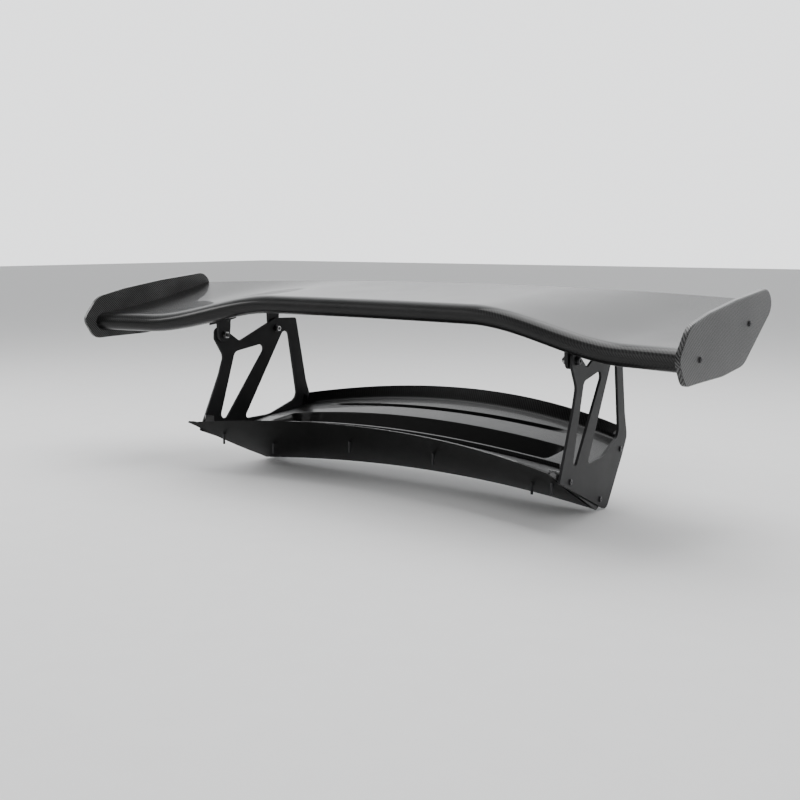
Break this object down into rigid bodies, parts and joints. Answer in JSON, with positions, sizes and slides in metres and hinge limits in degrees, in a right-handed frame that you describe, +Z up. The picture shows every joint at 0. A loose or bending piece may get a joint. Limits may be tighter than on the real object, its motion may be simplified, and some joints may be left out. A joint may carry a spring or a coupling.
{
  "type": "racing rear wing",
  "caption": "Carbon rear wing for a saloon's boot lid: a raised-centre blade with end plates, tilting on two plate stays above a hollow lipped base.",
  "frame": {"origin": "under the middle of the assembly, level with its lowest point", "axes": "+X to the car's right-hand side seen from behind, +Y rearwards, +Z up"},
  "size_m": [1.7166, 0.589, 0.5059],
  "materials": {
    "carbon": "clear-coated carbon twill, high gloss",
    "black_plate": "satin black anodised aluminium plate",
    "black_steel": "black oxide fasteners",
    "steel": "zinc plated",
    "foam": "closed-cell foam",
    "laminate": "raw laminate"
  },
  "bodies": {
    "base": {"stay_left": "black_plate", "stay_right": "black_plate", "pivot_bolts": "black_steel", "pivot_nuts": "steel", "pivot_washers": "black_steel", "pivot_tapered_washers": "black_steel", "adjust_bolts": "black_steel", "adjust_nuts": "steel", "adjust_washers": "black_steel", "adjust_tapered_washers": "black_steel", "stay_screws": "black_steel", "base_end_left": "carbon", "base_end_right": "carbon", "stay_nut_plate_left": "steel", "stay_nut_plate_right": "steel", "base_top_shell": "carbon", "base_skirt": "carbon", "base_rear_panel": "carbon", "base_rib_left": "laminate", "base_rib_right": "laminate", "trunk_studs": "black_steel", "stud_pads": "laminate"},
    "wing": {"blade_upper_skin": "carbon", "blade_lower_skin": "carbon", "core_left": "foam", "core_centre": "foam", "core_right": "foam", "mount_rib_left": "laminate", "mount_rib_right": "laminate", "end_rib_left": "laminate", "end_rib_right": "laminate", "end_plate_left": "carbon", "end_plate_right": "carbon", "end_plate_screws": "black_steel", "front_bracket_left": "black_plate", "front_bracket_right": "black_plate", "rear_bracket_left": "black_plate", "rear_bracket_right": "black_plate", "bracket_screws": "black_steel"}
  },
  "joints": [
    {"name": "wing_pitch", "type": "hinge", "parent": "base", "child": "wing", "pos_m": [0, -0.096, 0.354], "axis": [1, 0, 0], "range_deg": [-5, 5]}
  ]
}
